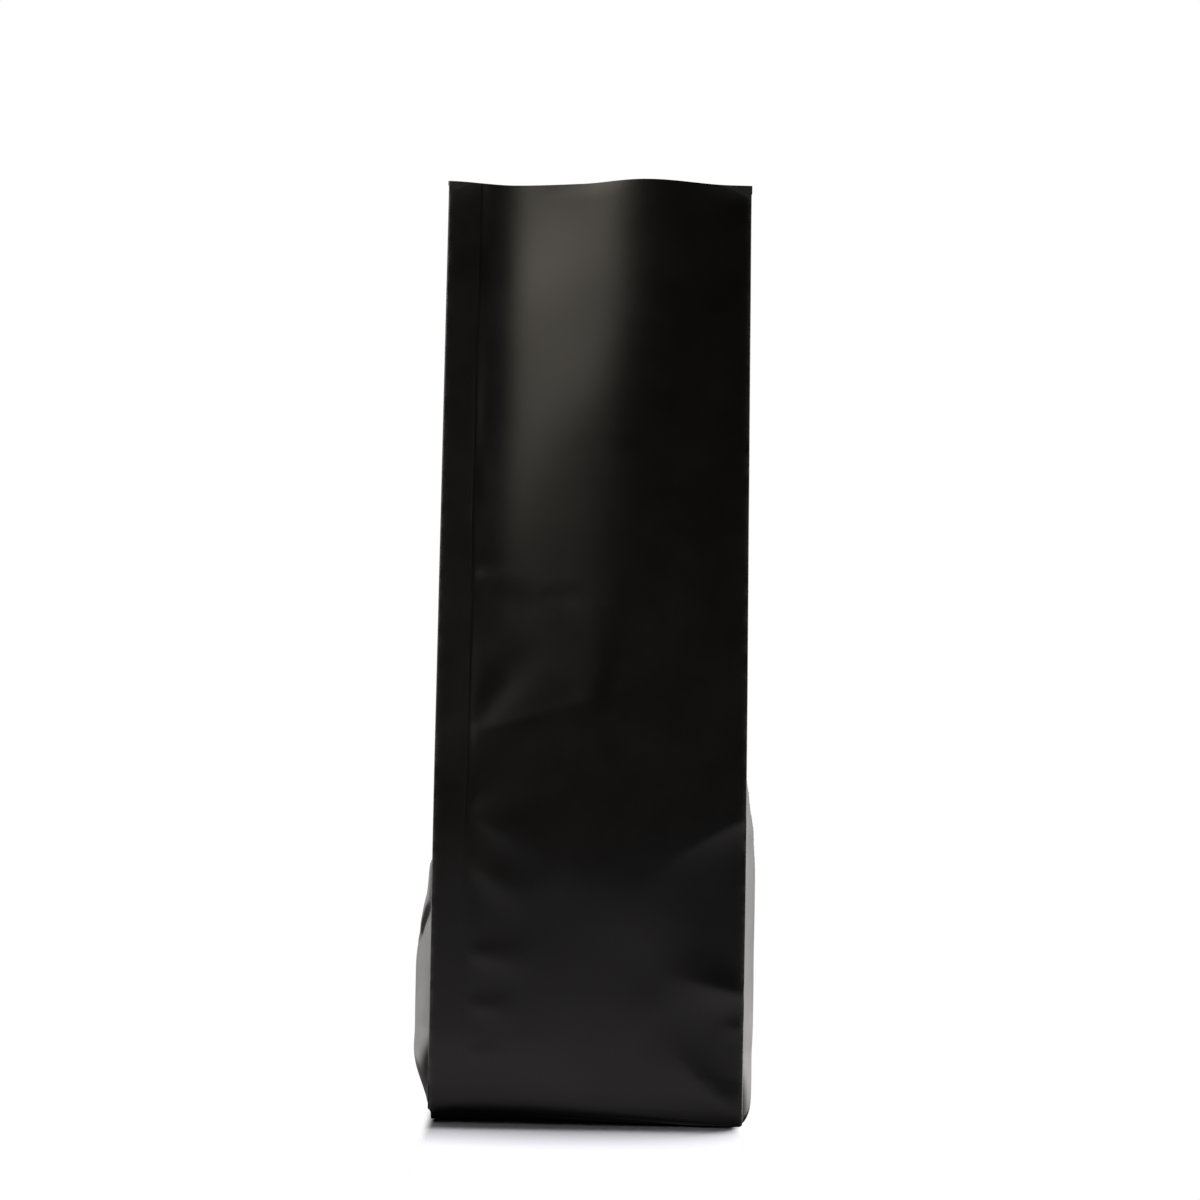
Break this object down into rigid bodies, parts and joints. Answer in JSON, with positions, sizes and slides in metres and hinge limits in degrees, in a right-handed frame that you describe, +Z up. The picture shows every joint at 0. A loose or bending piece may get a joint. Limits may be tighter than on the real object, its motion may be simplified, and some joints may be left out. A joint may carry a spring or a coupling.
{
  "type": "side gusset coffee bag",
  "caption": "Plain black film coffee bag with folded side gussets, a lap seal along one edge of its front panel and an unsealed top, standing on its opened bottom.",
  "frame": {"origin": "on the floor under the middle of the bag's box", "axes": "+Z up along the bag's height, +X to the right across the front panel as seen from the front, -Y out of the front panel that has the lap seal"},
  "size_m": [0.1042, 0.0662, 0.2879],
  "materials": {
    "film": "satin black laminate film, smooth, with a fine pressed texture on the heat seals"
  },
  "bodies": {
    "root": {"bag": "film"}
  },
  "joints": []
}
